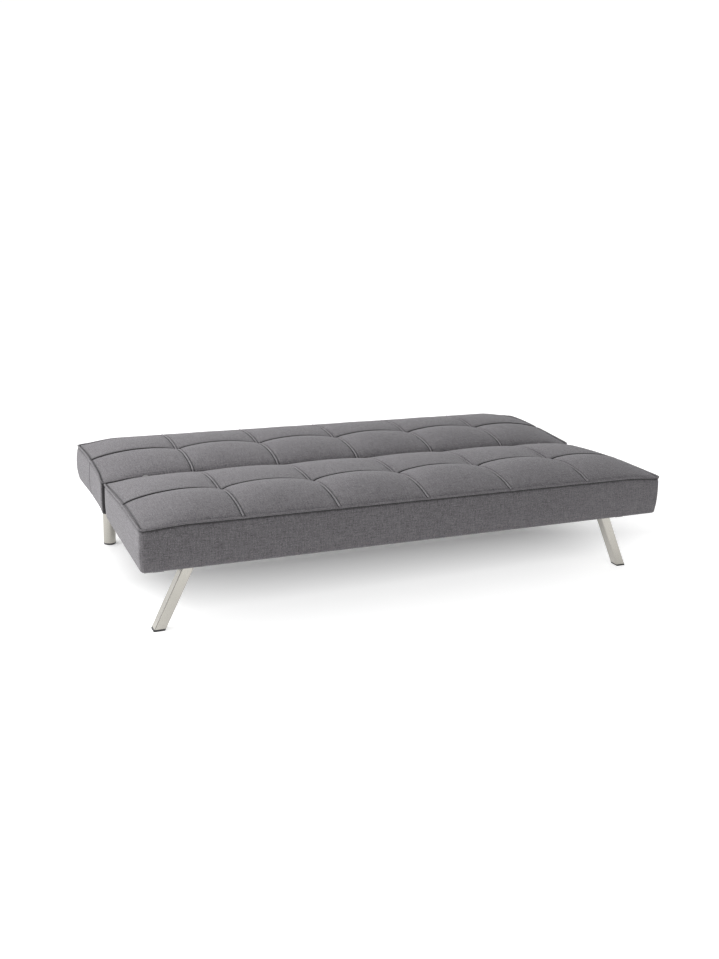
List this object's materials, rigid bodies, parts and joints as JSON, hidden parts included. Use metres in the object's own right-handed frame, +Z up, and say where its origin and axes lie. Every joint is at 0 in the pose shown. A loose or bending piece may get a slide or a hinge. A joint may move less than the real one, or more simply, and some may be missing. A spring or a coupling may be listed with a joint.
{
  "type": "click clack sofa bed",
  "caption": "Sofa bed laid flat: tufted grey seat and backrest on timber frames, joined by ratchet hinges, on splayed front legs and upright round rear legs.",
  "frame": {"origin": "on the floor under the middle of the flat bed", "axes": "+X along the width, -Y towards the seat's front edge, +Y towards the backrest's far edge, +Z up; rest pose is the flat bed"},
  "size_m": [1.68, 0.95, 0.367],
  "materials": {
    "upholstery": "matte",
    "dust_fabric": "matte",
    "foam": "matte",
    "timber": "matte",
    "leg_metal": "satin",
    "frame_metal": "satin",
    "hinge_metal": "satin",
    "fastener": "satin",
    "spring_wire": "satin",
    "cap_plastic": "matte",
    "rubber": "matte"
  },
  "bodies": {
    "base": {"back_rest_bumpers": "rubber", "base_crossbar": "frame_metal", "base_rail_bolts": "fastener", "base_rail_end_plugs": "cap_plastic", "base_rail_spacers": "fastener", "base_side_rail_left": "frame_metal", "base_side_rail_right": "frame_metal", "front_foot_cap_left": "cap_plastic", "front_foot_cap_right": "cap_plastic", "front_leg_bolts": "fastener", "front_leg_left": "leg_metal", "front_leg_right": "leg_metal", "front_leg_tee_nuts": "fastener", "hinge_pin_left": "fastener", "hinge_pin_right": "fastener", "hinge_washers": "fastener", "rear_foot_cap_left": "cap_plastic", "rear_foot_cap_right": "cap_plastic", "rear_leg_left": "leg_metal", "rear_leg_right": "leg_metal", "seat_cover": "upholstery", "seat_dust_cover": "dust_fabric", "seat_end_rail_left": "timber", "seat_end_rail_right": "timber", "seat_foam": "foam", "seat_front_rail": "timber", "seat_hinge_bolts": "fastener", "seat_hinge_nuts": "fastener", "seat_hinge_plate_left": "hinge_metal", "seat_hinge_plate_right": "hinge_metal", "seat_hinge_rail_left": "timber", "seat_hinge_rail_right": "timber", "seat_leg_board_left": "timber", "seat_leg_board_right": "timber", "seat_mid_rail": "timber", "seat_rear_rail": "timber", "seat_sinuous_springs": "spring_wire", "seat_spring_clips": "fastener"},
    "backrest": {"back_cover": "upholstery", "back_dust_cover": "dust_fabric", "back_end_rail_left": "timber", "back_end_rail_right": "timber", "back_far_rail": "timber", "back_foam": "foam", "back_hinge_bolts": "fastener", "back_hinge_nuts": "fastener", "back_hinge_plate_left": "hinge_metal", "back_hinge_plate_right": "hinge_metal", "back_hinge_rail_left": "timber", "back_hinge_rail_right": "timber", "back_near_rail": "timber", "back_sinuous_springs": "spring_wire", "back_spring_clips": "fastener", "back_support_board_left": "timber", "back_support_board_right": "timber", "pawl_spring_left": "spring_wire", "pawl_spring_right": "spring_wire", "pawl_pins": "fastener"},
    "pawl_left": {"pawl_left": "hinge_metal"},
    "pawl_right": {"pawl_right": "hinge_metal"}
  },
  "joints": [
    {"name": "backrest_recline", "type": "hinge", "parent": "base", "child": "backrest", "pos_m": [0, 0.045, 0.308], "axis": [1, 0, 0], "range_deg": [0, 78]},
    {"name": "pawl_left_swing", "type": "hinge", "parent": "backrest", "child": "pawl_left", "pos_m": [-0.708, 0.1056, 0.2656], "axis": [1, 0, 0], "range_deg": [-7, 0], "stiffness_Nm_per_rad": 0.5},
    {"name": "pawl_right_swing", "type": "hinge", "parent": "backrest", "child": "pawl_right", "pos_m": [0.708, 0.1056, 0.2656], "axis": [1, 0, 0], "range_deg": [-7, 0], "stiffness_Nm_per_rad": 0.5}
  ]
}
